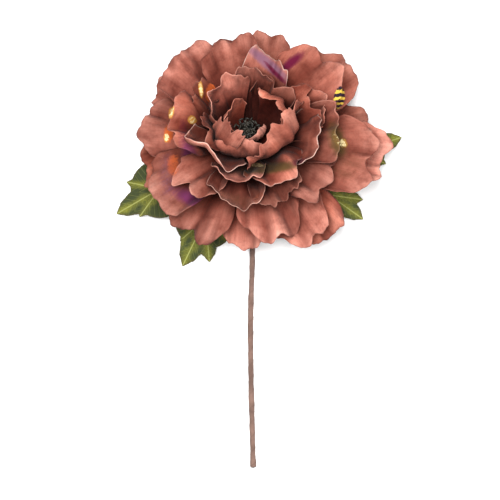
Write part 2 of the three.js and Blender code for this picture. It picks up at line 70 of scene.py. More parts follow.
# The layers, outermost first. rise: a petal's slope in degrees at its root, shoulder and rim. knee: where the
# shoulder is. spread: half its angle. wrap: the radius of its curl, as a part of its distance from the axis.
# roll: the lift of one side. ruffle, waves: how high and how many its waves are. notch, scallop: how deep its
# rim is cut. crease, fold, pleats: how strongly it is creased, folded once and pleated. dye: how far the deep
# dye reaches from the root; the deep root is partly painted shade. tone: from 0, warm, to 1, mauve. shade:
# darker above 0, lighter below; besides a random tone, the values given are partly painted shade and painted
# light. rim: pale above 0, a frayed edge with a painted highlight, and singed below.
LAYERS = [
    dict(radius=9, spread=27, rise=(-8, -4, -15), wrap=3, ruffle=3, waves=1.7, roll=0.05, notch=0.03,
         rim=-0.5, dye=1.1, petals=[
        cut(138, 61, shade=-0.2, tone=1),
        cut(191, 57, waves=1.2, rise=(-9, -8, -20), shade=0.25),
        cut(270, 54.5, rise=(-12, -14, -26), tone=0.9, shade=0.12),
        cut(310, 66, rise=(-11, -10, -22), shade=0.1),
        cut(13, 63, rise=(-9, -8, -20), shade=0.5),
        cut(82, 65, shade=0.2)]),
    dict(radius=9, spread=27, rise=(2, 6, -5), wrap=2.6, ruffle=3, waves=1.8, roll=0.06, notch=0.04,
         rim=-0.4, dye=1.1, petals=[
        cut(111, 59),
        cut(172, 55, spread=32, waves=1.1, roll=-0.04, tone=1),
        cut(238, 60, rise=(-3, -2, -16)),
        cut(302, 63, rise=(-3, -2, -16), tone=1, shade=0),
        cut(352, 75, spread=24, rise=(0, 2, -12), shade=-0.2, tone=1),
        cut(39, 69, notch=0.09, shade=0.25, tone=0.7)]),
    dict(radius=9, spread=29, rise=(12, 16, 3), wrap=2.2, ruffle=3, waves=1.7, roll=0.07, notch=0.03,
         rim=-0.3, dye=1.25, petals=[
        cut(101, 54, rise=(14, 26, 18), tone=0.9, shade=0.15),
        cut(131, 59, spread=31, tone=1, shade=-0.02),
        cut(216, 59, spread=31, rise=(8, 9, -6), tone=0.9, shade=0.4),
        cut(286, 57.5, rise=(7, 7, -6), tone=1, shade=-0.1, pleats=1.2),
        cut(345, 71, spread=27, tone=0.9, shade=0.2),
        cut(42, 61, spread=31, rise=(14, 24, 16), tone=0.8, shade=0.12, fold=1.8)]),
    dict(radius=9, spread=28, rise=(22, 42, 14), wrap=1.5, ruffle=2, waves=2, roll=0.09, notch=0.05,
         dye=1.6, petals=[
        cut(182, 51, spread=33, rise=(22, 60, 20), wrap=1.2, roll=0.05, tone=0.4),
        cut(227, 50, rise=(20, 27, 4), notch=0.14, roll=0.2, tone=0.8, shade=0.25, dye=0.8),
        cut(261, 50, rise=(18, 33, 50), spread=33, wrap=1.3, waves=1.2, notch=0, tone=0.8, shade=0.35,
            rim=0.6),
        cut(294, 49, rise=(22, 34, 10), scallop=1.5, dye=1, shade=0.6),
        cut(322, 55, rise=(17, 26, -4), notch=0.1, dye=0.8, tone=1, shade=0.2),
        cut(352, 58, rise=(19, 45, 34), tone=0.8, shade=0.3),
        cut(16, 49, rise=(22, 44, 40), shade=0.2),
        cut(74, 47, spread=27, rise=(24, 58, -20), tone=1, shade=0.1, rim=1),
        cut(150, 40, rise=(24, 54, 46), scallop=2, shade=0.5)]),
    dict(radius=7.3, spread=32, rise=(28, 62, 56), wrap=1.3, ruffle=1.8, waves=1.9, roll=0.11, notch=0.04,
         dye=2, petals=[
        cut(223, 48, rise=(25, 64, 77), spread=40, wrap=1.34, tone=0.6, shade=-0.35, dye=1.2, rim=1),
        cut(262, 46, rise=(23, 56, 46), tone=1, shade=-0.25, dye=1.3),
        cut(300, 49, rise=(26, 58, 6), shade=-0.1, rim=0.6),
        cut(340, 54, rise=(25, 55, 66), shade=0.3, rim=1),
        cut(9, 47, rise=(24, 54, 46), scallop=2, tone=0.4),
        cut(50, 38, rise=(28, 64, 50), shade=0.5),
        cut(86, 43, rise=(30, 66, 62), spread=25, tone=1, shade=0.35)]),
    dict(radius=5.8, spread=36, rise=(36, 72, 80), wrap=1.25, ruffle=1.4, waves=1.7, roll=0.12, notch=0.04,
         scallop=1.6, dye=2.2, petals=[
        cut(132, 44, rise=(34, 74, 62), spread=33, tone=0.9, shade=-0.2, dye=1.4, scallop=1),
        cut(178, 36, rise=(32, 72, 92), tone=0.3, shade=0.65),
        cut(222, 50, spread=18, knee=0.62, rise=(21, 93, 150), ruffle=0.7, waves=1, tone=0.6, shade=0.15,
            notch=0.1, dye=0.7, crease=0.9, scallop=2),
        cut(262, 42, knee=0.72, rise=(20, 90, 134), shade=0.05, dye=1, crease=1.3, scallop=2.2),
        cut(324, 58, knee=0.7, rise=(18, 90, 146), spread=40, wrap=1.2, roll=-0.12, tone=0.4, shade=-0.05,
            dye=0.6, crease=1.3, scallop=2.4),
        cut(26, 45, rise=(30, 80, 146), spread=34, wrap=1.4, tone=0.3, shade=-0.3),
        cut(202, 41, rise=(28, 74, 66), spread=30, tone=0.3, shade=0.45)]),
    dict(radius=4.4, spread=42, rise=(34, 84, 96), wrap=1.2, ruffle=0.8, waves=1.6, roll=0.1, notch=0.04,
         dye=2, petals=[
        cut(152, 28, rise=(34, 80, 84), shade=0, dye=1),
        cut(305, 24, rise=(34, 84, 130), shade=-0.8, dye=0.8)]),
]

# Tinted spots, as seen from above: the tint, the petals that take it, the place, the two half-widths, the
# turn in degrees and the strength.
SPOTS = (
    ("violet", "3_3", (-37, 28), (13, 4.5), -25, 0.9),
    ("lilac", "3_3", (-53, 42), (5, 13), 0, 0.4),
    ("violet", "4_1 3_3", (-40, 54), (4.5, 10), 10, 0.8),
    ("plum", "4_1 5_1", (-44, 66), (3, 10), 0, 0.5),
    ("ochre", "4_1 4_9 5_1", (-39, 74), (2.5, 2.5), 0, 0.8),
    ("ochre", "4_9 3_2", (-34, 92), (1.2, 4.5), 5, 1),
    ("ember", "4_9 3_2 4_1", (-28, 91), (3, 6), -20, 0.8),
    ("ochre", "2_2 3_2 4_1 1_2", (-51, 79), (2, 4), 0, 1),
    ("ember", "2_2 3_3 1_2", (-53, 67), (2.5, 5), 0, 0.9),
    ("ochre", "2_2 3_3 1_2", (-54, 65), (1.6, 3), 0, 1),
    ("ember", "3_3 4_2", (-50, 48), (4, 7), 0, 0.6),
    ("plum", "3_6 1_6 3_1 2_6", (18, 108), (9, 2.5), 40, 1),
    ("plum", "4_8", (9, 101), (9, 1.2), -46, 1),
    ("lilac", "4_8", (4, 107), (15, 3), -40, 0.9),
    ("olive", "5_3 5_2", (6, 46), (19, 3), 6, 0.9),
    ("ochre", "5_3 5_2", (-2, 48), (4.2, 1.4), -8, 1),
    ("plum", "5_3 5_4", (22, 49), (5, 2.2), 10, 0.7),
    ("olive", "4_3", (-18, 27), (16, 6), -10, 0.4),
    ("olive", "3_5 4_6", (44, 62), (5, 10), 15, 0.9),
    ("ember", "4_6", (41.5, 69), (3, 8), 10, 0.35),
    ("ochre", "4_6", (43, 63), (2, 5), 14, 0.7),
    ("ochre", "3_5 4_6", (47.5, 61), (2.2, 2.8), 25, 1),
    ("olive", "3_5", (50, 48), (12, 8), 30, 0.35),
    ("ember", "4_4 4_3", (-1, 29), (3, 6), -40, 0.45),
    ("banded", "3_6 4_7 2_6", (46, 88), (3, 5.5), -10, 1),
)


def chance(seed):
    """A number from 0 to 1 that looks random and is the same every time."""
    wave = math.sin(seed * 12.9898 + 78.233) * 43758.5453
    return wave - math.floor(wave)


def turn(seed):
    return 2 * math.pi * chance(seed)


def bend(r, h, slope, curvature, distance):
    """A curve of constant bend after a distance: it starts at r, h and climbs at the angle slope."""
    if abs(curvature) < 1e-6:
        return r + distance * np.cos(slope), h + distance * np.sin(slope), slope + 0 * distance
    end = slope + curvature * distance
    return r + (np.sin(end) - np.sin(slope)) / curvature, h + (np.cos(slope) - np.cos(end)) / curvature, end


def petal_outline(petal, u):
    """How far the rim is from the root, as a part of the length, across the petal from u = -1 to 1."""
    seed = petal["seed"]
    rounded = 1 - 0.3 * np.abs(u) ** 2.8
    lobes = 0.035 * np.sin(petal["waves"] * 2.6 * u + turn(seed)) + 0.025 * np.sin(9 * u + turn(seed + 1))
    scallops = petal.get("scallop", 0.6) * (
        0.011 * np.sin(19 * u + turn(seed + 5)) + 0.007 * np.sin(34 * u + turn(seed + 6))
        + 0.005 * np.sin(57 * u + turn(seed + 14)) * np.sin(11 * u + turn(seed + 15)))
    cleft = petal["notch"] * np.exp(-(((u - 0.3 * chance(seed + 4) + 0.15) / 0.16) ** 2))
    return rounded + lobes + scallops - cleft


def laid_flat(petal, u, t):
    """Where points of a petal are on the flat cloth: sideways and outwards from its root."""
    ray = petal["length"] * t * petal.get("outline", petal_outline)(petal, u)
    angle = math.radians(petal["spread"]) * u * (1.25 - 0.3 * t)
    return ray * np.sin(angle), ray * np.cos(angle)


CRUMPLE_WAVES = range(26, 7, -3)  # their lengths
CRUMPLE_HEIGHT = 0.034  # for each mm of a wave's length
FRILL_HEIGHT = 0.35  # as a part of the petal's waves
FOLD_DEPTH, CURL_HEIGHT, PLEAT_HEIGHT = 1.5, 2.0, 1.3
CURL_START = 0.84  # where along a petal its rim begins to curl


def petal_creases(petal, u, t, sideways, outwards):
    """Folds that pressing and handling leave in a petal, as a height above its smooth shape."""
    seed = petal["seed"]
    crumple = 0
    for k, wavelength in enumerate(CRUMPLE_WAVES):
        slant = math.radians(70 * (chance(seed + 30 + k) - 0.5))
        place = (sideways * math.cos(slant) + outwards * math.sin(slant)) / wavelength
        crumple = crumple + CRUMPLE_HEIGHT * wavelength * np.sin(2 * math.pi * place + turn(seed + 40 + k))
    frill = t ** 5 * (np.sin(13 * u + turn(seed + 7)) + 0.6 * np.sin(24 * u + turn(seed + 8)))
    line = u + 0.12 * np.sin(4 * t + turn(seed + 9)) - 0.5 * chance(seed + 11) + 0.25
    fold = -FOLD_DEPTH * petal.get("fold", 1) * np.exp(-(line / 0.09) ** 2) * t * (1.25 - t)
    side = 1 if chance(seed + 12) > 0.45 else -1
    curled = np.clip((t - CURL_START) / (1 - CURL_START), 0, 1) ** 2
    curl = side * CURL_HEIGHT * curled * (0.5 + 0.5 * np.sin(3.1 * u + turn(seed + 13)))
    pleats = PLEAT_HEIGHT * petal.get("pleats", 0) * t * np.cos(3.3 * math.pi * (u + 0.1 * np.sin(5 * t)))
    return petal.get("crease", 1) * (
        crumple * t ** 1.3 + FRILL_HEIGHT * petal["ruffle"] * frill + fold + curl + pleats)


def petal_points(petal, u, t):
    """Points on a petal in the bloom's frame; t runs from 0 at the root to 1 at the rim."""
    length, seed = petal["length"], petal["seed"]
    sideways, outwards = laid_flat(petal, u, t)
    root, shoulder, rim = (math.radians(a) for a in petal["rise"])
    first = petal.get("knee", SHOULDER) * length
    before, past = np.minimum(outwards, first), np.maximum(outwards - first, 0)
    r, h, slope = bend(petal["root"], petal["height"], root, (shoulder - root) / first, before)
    beyond = bend(r, h, slope, (rim - shoulder) / (length - first), past)
    r, h, slope = (np.where(past > 0, b, a) for a, b in zip((r, h, slope), beyond))
    waves = np.sin(petal["waves"] * math.pi * u + turn(seed + 2)) + 0.4 * np.sin(7.3 * u + turn(seed + 3))
    lift = petal["ruffle"] * t ** 2.2 * waves + petal["roll"] * sideways
    lift = lift + petal_creases(petal, u, t, sideways, outwards)
    curve = petal["wrap"] * r
    swing = sideways / curve
    inwards = curve * (1 - np.cos(swing)) + lift * np.cos(swing)
    along = curve * np.sin(swing) - lift * np.sin(swing)
    radius = r - inwards * np.sin(slope)
    at = math.radians(petal["at"])
    x = radius * math.cos(at) - along * math.sin(at)
    y = radius * math.sin(at) + along * math.cos(at)
    return np.stack([x, y, h + inwards * np.cos(slope)], axis=-1)


def leaned(points):
    """Points of the bloom's frame in the table's frame."""
    return points @ TILT.T + HUB


def in_place(points):
    """The same for cloth: where it would sink into the table it lies along it."""
    placed = leaned(points)
    above = placed[..., 2] - TABLE_GAP
    placed[..., 2] = TABLE_GAP + (above + np.hypot(above, TABLE_EASE)) / 2
    return placed


# ---------------- meshes
def grid_faces(across, along):
    """Quads of a sheet, row after row of points."""
    i, j = np.meshgrid(np.arange(across), np.arange(along))
    a = j * (across + 1) + i
    return np.stack([a, a + 1, a + across + 2, a + across + 1], axis=-1).reshape(-1, 4)


def ring_faces(rings, around):
    """Quads between rings of points that each close round."""
    j, i = np.meshgrid(np.arange(rings - 1), np.arange(around), indexing="ij")
    a, b = j * around + i, j * around + (i + 1) % around
    return np.stack([a, b, b + around, a + around], axis=-1).reshape(-1, 4).tolist()


def add_object(name, data):
    thing = bpy.data.objects.new(name, data)
    bpy.context.scene.collection.objects.link(thing)
    return thing


def mesh_piece(name, points, faces, node, material, marks, thickness=0.0):
    """A smooth mesh piece in place of a solid. marks: numbers, and for "place" vectors, at its points."""
    mesh = bpy.data.meshes.new(name)
    points = np.asarray(points, dtype=float).reshape(-1, 3) * MM
    mesh.from_pydata(points.tolist(), [], [list(map(int, f)) for f in faces])
    for mark, values in marks.items():
        kind, key, width = ("FLOAT_VECTOR", "vector", 3) if mark == "place" else ("FLOAT", "value", 1)
        values = np.asarray(values, dtype=np.float32).reshape(-1, width)
        layer = mesh.attributes.new(mark, kind, "POINT")
        layer.data.foreach_set(key, np.broadcast_to(values, (len(points), width)).ravel())
    mesh.polygons.foreach_set("use_smooth", [True] * len(mesh.polygons))
    mesh.materials.append(material)
    mesh.update()
    piece = add_object(name, mesh)
    if thickness:
        cloth = piece.modifiers.new("cloth", "SOLIDIFY")
        cloth.thickness, cloth.offset = thickness * MM, 0
    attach(piece, "root")
    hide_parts(node)


def circle(around):
    return 2 * math.pi * np.arange(around) / around


def tube(path, radius, around):
    """A closed tube round a path. radius has a number for each ring, or for each point of each ring."""
    path = np.asarray(path, dtype=float)
    ahead = np.gradient(path, axis=0)
    ahead /= np.linalg.norm(ahead, axis=1, keepdims=True)
    side = np.cross(ahead[0], [0.13, 0.31, 0.94])  # any direction that the path doesn't start in
    sides = []
    for direction in ahead:
        side = side - direction * (side @ direction)
        side /= np.linalg.norm(side)
        sides.append(side)
    sides = np.array(sides)
    ups = np.cross(ahead, sides)[:, None]
    sides = sides[:, None]
    angle = circle(around)[None, :, None]
    reach = np.broadcast_to(np.asarray(radius).reshape(len(path), -1), (len(path), around))[..., None]
    points = path[:, None] + reach * (np.cos(angle) * sides + np.sin(angle) * ups)
    last = (len(path) - 1) * around
    ends = [list(range(around))[::-1], list(range(last, last + around))]
    return points.reshape(-1, 3), ring_faces(len(path), around) + ends


def turned(profile, around):
    """A profile of radius and height turned about the axis, and the angle of each of its points."""
    angle = circle(around)
    points = np.array([[r * np.cos(angle), r * np.sin(angle), h + 0 * angle] for r, h in profile])
    points = points.transpose(0, 2, 1).reshape(-1, 3)
    return points, ring_faces(len(profile), around), np.arctan2(points[:, 1], points[:, 0])


def gathered(parts):
    """Several meshes as one list of points and one of faces."""
    points, faces, first = [], [], 0
    for some_points, some_faces in parts:
        points.append(some_points)
        faces += [[first + v for v in face] for face in some_faces]
        first += len(some_points)
    return np.concatenate(points), faces


def smooth_line(points, step):
    """A smooth curve through the points, with a point about every step."""
    points = np.asarray(points, dtype=float)
    ends = np.concatenate([[2 * points[0] - points[1]], points, [2 * points[-1] - points[-2]]])
    line = []
    for k in range(len(points) - 1):
        a, b, c, d = ends[k:k + 4]
        count = max(1, round(np.linalg.norm(c - b) / step))
        for t in np.arange(count)[:, None] / count:
            line.append(b + 0.5 * t * (c - a + t * (2 * a - 5 * b + 4 * c - d + t * (3 * (b - c) + d - a))))
    return np.concatenate([np.array(line).reshape(-1, 3), points[-1:]])


# ---------------- material helpers
class Nodes:
    """Adds nodes to a tree and joins them by their sockets' names."""

    def __init__(self, tree):
        self.tree = tree

    def feed(self, socket, value):
        """Links a value to an input, or writes it there if it is a plain one."""
        if isinstance(value, bpy.types.NodeSocket):
            self.tree.links.new(value, socket)
        else:
            socket.default_value = value

    def add(self, kind, values=None, **settings):
        node = self.tree.nodes.new(kind)
        for key, value in settings.items():
            setattr(node, key, value)
        for key, value in (values or {}).items():
            self.feed(node.inputs[key], value)
        return node

    def group(self, tree, values):
        return self.add("ShaderNodeGroup", values, node_tree=tree).outputs

    def math(self, operation, a, b=0.0):
        return self.add("ShaderNodeMath", {0: a, 1: b}, operation=operation).outputs[0]

    def times(self, a, b):
        return self.math("MULTIPLY", a, b)

    def scaled(self, value, factor, start):
        return self.math("ADD", start, self.times(value, factor))

    def total(self, first, *others):
        """The sum of some values, each given with its weight."""
        result = self.times(*first)
        for value, weight in others:
            result = self.math("ADD", result, self.times(value, weight))
        return result

    def stirred(self, value, noise, amount, middle=0.5):
        """A value made uneven by a noise."""
        return self.math("ADD", value, self.times(self.math("SUBTRACT", noise, middle), amount))

    def above_and_below(self, value):
        """How far a value is above zero, and how far below."""
        return self.math("MAXIMUM", value, 0.0), self.math("MAXIMUM", self.times(value, -1.0), 0.0)

    def mix(self, amount, a, b, blend="MIX"):
        node = self.add("ShaderNodeMix", data_type="RGBA", blend_type=blend)
        for socket, value in ((0, amount), (6, a), (7, b)):  # the inputs that its colour kind uses
            self.feed(node.inputs[socket], value)
        return node.outputs[2]

    def ramp(self, value, *stops):
        """Colours by a value: each stop is its place and its colour."""
        node = self.add("ShaderNodeValToRGB", {0: value})
        elements = node.color_ramp.elements
        while len(elements) < len(stops):
            elements.new(0.5)
        for element, (place, colour) in zip(elements, stops):
            element.position, element.color = place, colour
        return node.outputs[0]

    def fade(self, value, *stops):
        """A number by a value: each stop is its place and its number."""
        return self.ramp(value, *((place, (number, number, number, 1)) for place, number in stops))

    def mark(self, name):
        node = self.add("ShaderNodeAttribute", attribute_name=name)
        return node.outputs["Vector" if name == "place" else "Fac"]

    def noise(self, vector, scale, detail, roughness=0.55):
        return self.add("ShaderNodeTexNoise", {
            "Vector": vector, "Scale": scale, "Detail": detail, "Roughness": roughness}).outputs["Fac"]

    def bump(self, height, strength, distance):
        return self.add("ShaderNodeBump", {
            "Strength": strength, "Distance": distance, "Height": height}).outputs[0]

    def surface(self, colour, roughness, others):
        return self.add("ShaderNodeBsdfPrincipled", {
            "Base Color": colour, "Roughness": roughness, **others}).outputs[0]

    def show(self, shader):
        self.add("ShaderNodeOutputMaterial", {"Surface": shader})


def rgb(red, green, blue):
    """A colour given by its screen values, 0 to 255, as linear light."""
    parts = [value / 255 for value in (red, green, blue)]
    return (*[c / 12.92 if c <= 0.04045 else ((c + 0.055) / 1.055) ** 2.4 for c in parts], 1.0)


def effect(name, inputs, outputs):
    """An empty shader node group with named inputs and outputs."""
    tree = bpy.data.node_groups.new(name, "ShaderNodeTree")
    kinds = {"number": "NodeSocketFloat", "vector": "NodeSocketVector"}
    for way, sockets in (("INPUT", inputs), ("OUTPUT", outputs)):
        for label, kind in sockets.items():
            tree.interface.new_socket(label, in_out=way, socket_type=kinds[kind])
    nodes = Nodes(tree)
    return tree, nodes, nodes.add("NodeGroupInput").outputs, nodes.add("NodeGroupOutput").inputs


def weave_effect():
    """Fine crossed threads, as a height."""
    tree, n, given, result = effect(
        "cloth_weave", {"Place": "vector", "Thread": "number"}, {"Height": "number"})
    parts = n.add("ShaderNodeSeparateXYZ", {0: given["Place"]}).outputs
    wander = n.times(n.noise(given["Place"], 0.35, 1), 0.8)
    pitch = n.math("DIVIDE", 2 * math.pi, given["Thread"])
    rows = [n.math("SINE", n.times(n.math("ADD", parts[k], wander), pitch)) for k in (0, 1)]
    n.feed(result["Height"], n.times(*rows))
    return tree


def veins_effect():
    """Pressed veins that fan out from a petal's root, as a height."""
    tree, n, given, result = effect(
        "pressed_veins", {"Across": "number", "Along": "number", "Seed": "number"}, {"Height": "number"})
    place = n.add("ShaderNodeCombineXYZ", {
        "X": n.times(given["Across"], 9.0), "Y": n.times(given["Along"], 1.3),
        "Z": given["Seed"]}).outputs[0]
    broad, fine = n.noise(place, 1, 4, 0.6), n.noise(place, 4, 2, 0.5)
    n.feed(result["Height"], n.total((broad, 0.7), (fine, 0.3)))
    return tree


def start_material(name):
    material = bpy.data.materials.new(name)
    material.use_nodes = True
    material.node_tree.nodes.clear()
    return material, Nodes(material.node_tree)


WEAVE = weave_effect()
VEINS = veins_effect()

# ---------------- petals' cloth
# The dye by its depth from the root: the near-black root is painted shade laid over the dye.
WARM_DYE_AND_SHADE = ((0, rgb(34, 8, 4)), (0.26, rgb(90, 29, 17)), (0.5, rgb(150, 70, 50)),
            (0.78, rgb(180, 96, 74)), (1, rgb(202, 123, 101)))
MAUVE_DYE_AND_SHADE = ((0, rgb(32, 9, 6)), (0.26, rgb(82, 32, 24)), (0.52, rgb(145, 79, 65)),
             (0.8, rgb(177, 109, 93)), (1, rgb(206, 140, 123)))
# Used for thin and thick dye in blotches, for painted highlight on ridges and painted light on lit petals,
# and for painted shade in folds.
FADED_AND_PAINTED_LIGHT, SOAKED_AND_PAINTED_SHADE = (1.42, 1.62, 1.66, 1), (0.48, 0.36, 0.34, 1)  # thin and thick dye, and painted light and shade
PAINTED_SHADE_BETWEEN_PETALS = (0.19, 0.11, 0.09, 1)  # painted shade deep between the petals, where other cloth hides a point
TINTS = {  # the colour, and the strengths at which a tint begins and is full
    "violet": (rgb(104, 44, 84), 0.1, 0.75), "lilac": (rgb(126, 88, 108), 0.15, 0.6),
    "ochre": (rgb(222, 160, 66), 0.4, 0.55), "ember": (rgb(202, 96, 44), 0.38, 0.6),
    "olive": (rgb(92, 74, 42), 0.15, 0.7), "plum": (rgb(96, 22, 50), 0.3, 0.6)}
TINT_MARKS = (*TINTS, "banded")
BAND_SLANT = (0.8, 0.6, 0)  # across the bands


def petal_dye_and_painted_light(n, place, cloudy, blotched, veins):
    """Deep at the root, partly painted shade; pale at the rim; thin and thick in blotches; painted shade in
    folds, highlight on ridges.
    """
    depth = n.stirred(n.mark("along"), cloudy, 0.5)
    # shade: a random darker tone, and given values of painted shade above 0 and painted light below.
    darker, faded = n.above_and_below(n.mark("shade"))
    colour = n.mix(n.mark("tone"), n.ramp(depth, *WARM_DYE_AND_SHADE), n.ramp(depth, *MAUVE_DYE_AND_SHADE))
    colour = n.mix(darker, colour, rgb(60, 24, 16))
    colour = n.mix(faded, colour, FADED_AND_PAINTED_LIGHT, "MULTIPLY")
    # The fold mark: painted shade in the creases, a painted highlight on the ridges.
    fold = n.mark("fold")
    for value, start, end, stain in (
            (blotched, (0.5, 0), (0.68, 0.42), FADED_AND_PAINTED_LIGHT), (blotched, (0.34, 0.6), (0.5, 0), SOAKED_AND_PAINTED_SHADE),
            (fold, (0.1, 0.8), (0.5, 0), SOAKED_AND_PAINTED_SHADE), (fold, (0.55, 0), (0.95, 0.5), FADED_AND_PAINTED_LIGHT),
            (veins, (0.4, 0), (0.62, 0.2), rgb(120, 62, 54))):
        colour = n.mix(n.fade(value, start, end), colour, stain, "MULTIPLY")
    grainy = n.noise(place, 1.15, 2, 0.6)
    return n.mix(n.fade(grainy, (0.5, 0), (0.72, 0.22)), colour, rgb(88, 40, 32))


def petal_tints(n, colour, place, frayed, veins):
    """The tinted spots over the dye, with glints in the ochre, and the banded spot."""
    smeared = n.times(n.math("ADD", frayed, veins), 0.5)
    for tint, (dye, begins, full) in TINTS.items():
        strength = n.mark(tint)
        sharp = n.fade(n.stirred(strength, smeared, 1.6), (begins, 0), (full, 1))
        colour = n.mix(n.times(sharp, strength), colour, dye)
    glint = n.stirred(n.mark("ochre"), frayed, 1.6)
    colour = n.mix(n.fade(glint, (0.74, 0), (0.92, 0.9)), colour, rgb(252, 236, 178))
    slant = n.add("ShaderNodeVectorMath", {0: place, 1: BAND_SLANT}, operation="DOT_PRODUCT").outputs["Value"]
    stripe = n.math("SINE", n.total((slant, 2.1), (frayed, 5.0)))
    bands = n.mix(n.fade(stripe, (0, 0), (0.25, 1)), rgb(44, 36, 50), rgb(236, 200, 84))
    spot = n.stirred(n.mark("banded"), frayed, 0.8)
    return n.mix(n.fade(spot, (0.42, 0), (0.55, 1)), colour, bands)


def petal_rims(n, colour, frayed, blotched):
    """Pale cut edges, frayed and with a painted highlight, and singed ones."""
    edge = n.fade(n.stirred(n.mark("to_rim"), frayed, 0.9, 0.45), (0, 0.9), (0.25, 0.5), (0.7, 0))
    worn = n.times(edge, n.fade(blotched, (0.38, 0.35), (0.6, 1)))
    pale, singed = n.above_and_below(n.mark("rim"))
    # Pale rims: frayed cut edges, with a painted highlight along the lit rims.
    colour = n.mix(n.times(worn, pale), colour, rgb(226, 194, 180))
    return n.mix(n.times(edge, singed), colour, rgb(74, 40, 34))


def petal_cloth():
    """Dusty terracotta cloth, deeper towards the root with painted shade, tinted in spots and letting a
    little light through.
    """
    material, n = start_material("petal_cloth")
    place = n.mark("place")
    veins = n.group(VEINS, {
        "Across": n.mark("across"), "Along": n.mark("along"), "Seed": n.mark("seed")})["Height"]
    weave = n.group(WEAVE, {"Place": place, "Thread": 0.42})["Height"]
    cloudy = n.noise(place, 0.06, 3)
    blotched = n.noise(place, 0.13, 5, 0.62)
    frayed = n.noise(place, 0.75, 4, 0.7)
    colour = petal_dye_and_painted_light(n, place, cloudy, blotched, veins)
    colour = petal_tints(n, colour, place, frayed, veins)
    colour = petal_rims(n, colour, frayed, blotched)
    # Painted shade between the petals, darkest where other cloth hides a point most.
    painted_shade = n.fade(n.stirred(n.mark("painted_shade"), blotched, 0.3), (0.12, 0), (0.32, 0.5), (0.62, 1))
    colour = n.mix(painted_shade, colour, PAINTED_SHADE_BETWEEN_PETALS, "MULTIPLY")
    bump = n.bump(n.total((veins, 0.3), (weave, 0.05), (blotched, 0.5)), 0.6, 0.0008)
    cloth = n.surface(colour, n.scaled(cloudy, 0.22, 0.62), {
        "Normal": bump, "Sheen Weight": 0.03, "Sheen Roughness": 0.5, "Specular IOR Level": 0.06})
    glow = n.add("ShaderNodeBsdfTranslucent", {"Color": n.mix(0.45, colour, rgb(214, 92, 62))}).outputs[0]
    n.show(n.add("ShaderNodeMixShader", {0: 0.24, 1: cloth, 2: glow}).outputs[0])
    return material


# ---------------- bloom
ACROSS, ALONG = 64, 36  # faces of a petal
ROOT_GAP = 0.6  # from the root's point to the first row of points
LOOKS = ((0, 1), (25, 5), (50, 8))  # looks into the bloom: degrees from its axis, and how many round it
LOOK_START = 1.2  # from a point, past its own cloth
HIDE_REACH = 26.0  # cloth this much farther off hides nothing
SPOT_REACH = 1.6  # where a tinted spot ends, in its half-widths
COLLAR_FOOT, COLLAR_HEIGHT, COLLAR_PLEATS = 0.32, 1.76, 22


def tints(number, placed):
    """How much of each tint each point of a petal takes."""
    marks = {tint: np.zeros(placed.shape[:2]) for tint in TINT_MARKS}
    for tint, numbers, middle, half, degrees, amount in SPOTS:
        if number in numbers.split():
            x, y = placed[..., 0] - middle[0], placed[..., 1] - middle[1]
            c, s = math.cos(math.radians(degrees)), math.sin(math.radians(degrees))
            away = np.hypot((x * c + y * s) / half[0], (y * c - x * s) / half[1])
            marks[tint] = np.maximum(marks[tint], amount * np.clip(SPOT_REACH - away, 0, 1))
    return marks


def petal_grid(petal, across=ACROSS, along=ALONG, crowd=0.85):
    """Places across and along a petal; a crowd below 1 sets the rows closer together towards the rim."""
    u, t = np.meshgrid(np.linspace(-1, 1, across + 1), np.linspace(0, 1, along + 1))
    return u, np.maximum(t ** crowd, ROOT_GAP / petal["length"])


def painted_shade_finder(surfaces):
    """Gives a function telling how much other cloth hides each point from the bloom's open side, for painted
    shade.
    """
    points, faces, first = [], [], 0
    for surface in surfaces:
        rows, columns = surface.shape[:2]
        points += surface.reshape(-1, 3).tolist()
        faces += (grid_faces(columns - 1, rows - 1) + first).tolist()
        first += rows * columns
    cloth = BVHTree.FromPolygons(points, faces)
    looks = []
    for degrees, count in LOOKS:
        slant = math.radians(degrees)
        for k in range(count):
            around = 2 * math.pi * (k + degrees / 60) / count
            looks.append(Vector(TILT @ [
                math.sin(slant) * math.cos(around), math.sin(slant) * math.sin(around), math.cos(slant)]))

    def painted_shade_at(point):
        hidden = 0
        for look in looks:
            distance = cloth.ray_cast(point + look * LOOK_START, look, HIDE_REACH)[3]
            hidden += 0 if distance is None else 1 - distance / HIDE_REACH
        return hidden / len(looks)

    return lambda surface: np.array([[painted_shade_at(Vector(point)) for point in row] for row in surface])


def spread_out(coarse, shape):
    """Values of a coarse grid at the points of a finer one."""
    rows, columns = (np.linspace(0, n - 1, m) for n, m in zip(coarse.shape, shape))
    across = np.array([np.interp(columns, np.arange(coarse.shape[1]), row) for row in coarse])
    return np.array([np.interp(rows, np.arange(coarse.shape[0]), column) for column in across.T]).T


def make_petal(number, petal, cloth, depth):
    u, t = petal_grid(petal)
    placed = in_place(petal_points(petal, u, t))
    length, seed, outline = petal["length"], petal["seed"], petal_outline(petal, u)
    ray = length * t * outline
    to_side = 0.45 * length * (1 - np.abs(u)) + 4 * np.clip(0.8 - t, 0, 1)
    mesh_piece(f"petal_{number}", placed, grid_faces(ACROSS, ALONG), petal["node"], cloth, {
        # fold: the creases' height, which the cloth turns into painted shade and painted highlight
        "fold": np.clip(0.5 + 0.22 * petal_creases(petal, u, t, *laid_flat(petal, u, t)), 0, 1),
        # how hidden each point is, for the painted shade between the petals
        "painted_shade": spread_out(depth(placed[::2, ::2]), u.shape),
        "place": np.stack([ray * np.sin(math.radians(petal["spread"]) * u), ray, 0 * u + seed], -1),
        "along": (t * outline / outline.max()) ** petal["dye"],
        "to_rim": np.minimum(length * outline * (1 - t), to_side),
        "across": u,
        "seed": 1.37 * seed,
        "tone": petal.get("tone", chance(seed + 20)),
        "rim": petal.get("rim", 0.12),
        "shade": petal.get("shade", 0.42 * chance(seed + 21) ** 1.5),
        **tints(number, placed),
    }, CLOTH)


